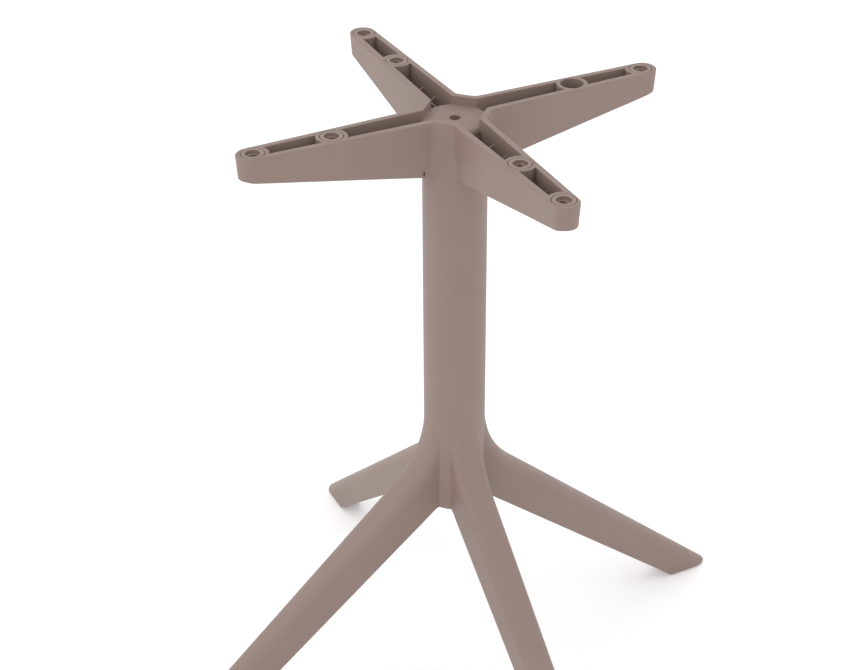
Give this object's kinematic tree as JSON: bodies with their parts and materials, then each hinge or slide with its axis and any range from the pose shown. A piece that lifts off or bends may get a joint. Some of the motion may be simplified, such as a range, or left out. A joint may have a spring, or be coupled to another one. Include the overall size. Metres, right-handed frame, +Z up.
{
  "type": "table base",
  "caption": "Moulded resin table base: a round hollow column with a cross of open channel arms on top and splayed tapering legs on foot glides.",
  "frame": {"origin": "on the column's axis at floor level, under the glides", "axes": "+Z up along the column; arms and legs run along X and Y, and the arm along +X has the empty inner boss"},
  "size_m": [0.7284, 0.7284, 0.7225],
  "materials": {
    "resin": "fine matte moulded texture",
    "bush": "smooth matte",
    "glide": "smooth matte"
  },
  "bodies": {
    "root": {"moulded_base": "resin", "outer_bush_1": "bush", "outer_bush_2": "bush", "outer_bush_3": "bush", "outer_bush_4": "bush", "inner_bush_1": "bush", "inner_bush_2": "bush", "inner_bush_3": "bush", "foot_glide_1": "glide", "foot_glide_2": "glide", "foot_glide_3": "glide", "foot_glide_4": "glide"}
  },
  "joints": []
}
